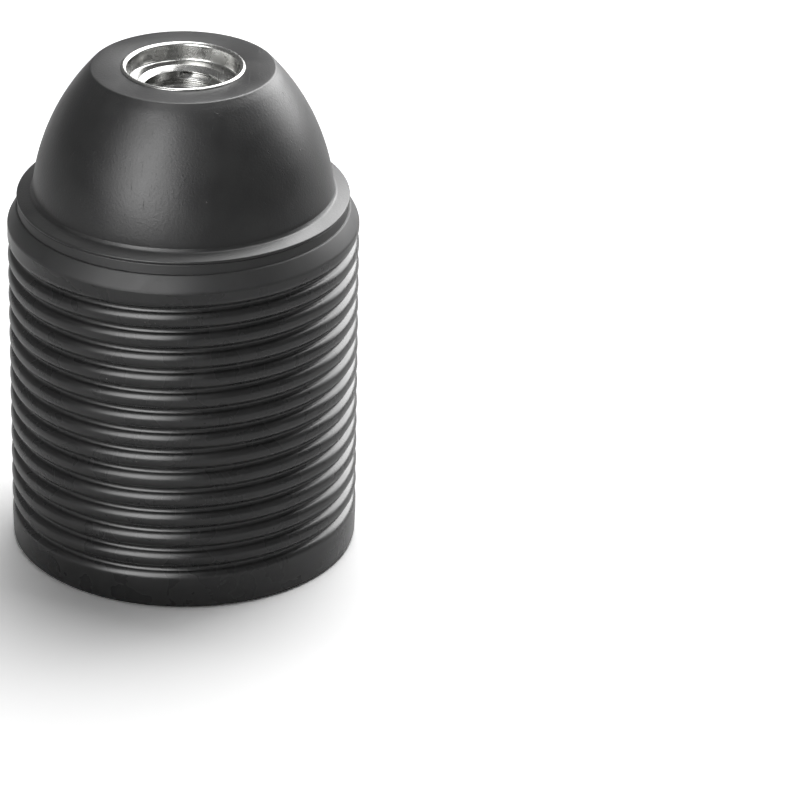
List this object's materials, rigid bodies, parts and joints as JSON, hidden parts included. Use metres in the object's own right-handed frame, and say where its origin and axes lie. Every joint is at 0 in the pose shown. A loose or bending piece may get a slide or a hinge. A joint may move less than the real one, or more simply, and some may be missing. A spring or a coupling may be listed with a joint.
{
  "type": "lamp holder",
  "caption": "Edison screw lamp holder with a threaded barrel, a screw-on dome cap, a metal cable entry and sprung contacts on an inner carrier.",
  "frame": {"origin": "centre of the mouth's rim, on the plane that the holder stands on", "axes": "+Z from the mouth towards the cable entry; -X on the side where the centre contact is held"},
  "size_m": [0.04, 0.04, 0.0585],
  "materials": {
    "black_moulding": "smooth black thermoplastic, satin",
    "black_insert": "black thermoplastic, fine matt mould finish",
    "plated_entry": "zinc-plated steel, bright",
    "screw_steel": "zinc-plated steel",
    "plated_contact": "nickel-plated bronze strip",
    "terminal_brass": "plain brass",
    "rivet_metal": "nickel-plated brass"
  },
  "bodies": {
    "barrel": {"threaded_barrel": "black_moulding"},
    "carrier": {"contact_carrier": "black_insert", "terminal_plate_centre": "terminal_brass", "terminal_plate_shell": "terminal_brass", "rivet_centre": "rivet_metal", "rivet_shell": "rivet_metal"},
    "cap": {"dome_cap": "black_moulding", "entry_bush": "plated_entry"},
    "set_screw": {"bush_set_screw": "screw_steel"},
    "centre_spring": {"centre_contact": "plated_contact"},
    "shell_spring": {"shell_contact": "plated_contact"},
    "washer_centre": {"clamp_washer_centre": "screw_steel"},
    "washer_shell": {"clamp_washer_shell": "screw_steel"},
    "screw_centre": {"clamp_screw_centre": "screw_steel"},
    "screw_shell": {"clamp_screw_shell": "screw_steel"}
  },
  "joints": [
    {"name": "cap_unscrew", "type": "hinge", "parent": "barrel", "child": "carrier", "pos_m": [0, 0, 0.0272], "axis": [0, 0, 1], "range_deg": [0, 1080]},
    {"name": "cap_rise", "type": "slide", "parent": "carrier", "child": "cap", "axis": [0, 0, 1], "range_m": [0, 0.006]},
    {"name": "set_screw_travel", "type": "slide", "parent": "cap", "child": "set_screw", "axis": [0, 1, 0], "range_m": [-0.001, 0.0007]},
    {"name": "centre_contact_flex", "type": "hinge", "parent": "carrier", "child": "centre_spring", "pos_m": [-0.01132, 0, 0.0308], "axis": [0, -1, 0], "range_deg": [0, 7], "stiffness_Nm_per_rad": 0.35},
    {"name": "shell_contact_flex", "type": "hinge", "parent": "carrier", "child": "shell_spring", "pos_m": [0.01132, 0, 0.0308], "axis": [0, -1, 0], "range_deg": [0, 3.5], "stiffness_Nm_per_rad": 0.2},
    {"name": "washer_lift_centre", "type": "slide", "parent": "carrier", "child": "washer_centre", "axis": [0, 0, 1], "range_m": [0, 0.0015]},
    {"name": "washer_lift_shell", "type": "slide", "parent": "carrier", "child": "washer_shell", "axis": [0, 0, 1], "range_m": [0, 0.0015]},
    {"name": "screw_turn_centre", "type": "hinge", "parent": "washer_centre", "child": "screw_centre", "pos_m": [-0.0064, -0.0016, 0.0323], "axis": [0, 0, 1], "range_deg": [0, 1080]},
    {"name": "screw_turn_shell", "type": "hinge", "parent": "washer_shell", "child": "screw_shell", "pos_m": [0.0064, -0.0016, 0.0323], "axis": [0, 0, 1], "range_deg": [0, 1080]}
  ],
  "couplings": [
    {"joint": "cap_rise", "follows": "cap_unscrew", "m_per_rad": 0.0003183},
    {"joint": "screw_turn_centre", "follows": "washer_lift_centre", "rad_per_m": 12566},
    {"joint": "screw_turn_shell", "follows": "washer_lift_shell", "rad_per_m": 12566}
  ]
}
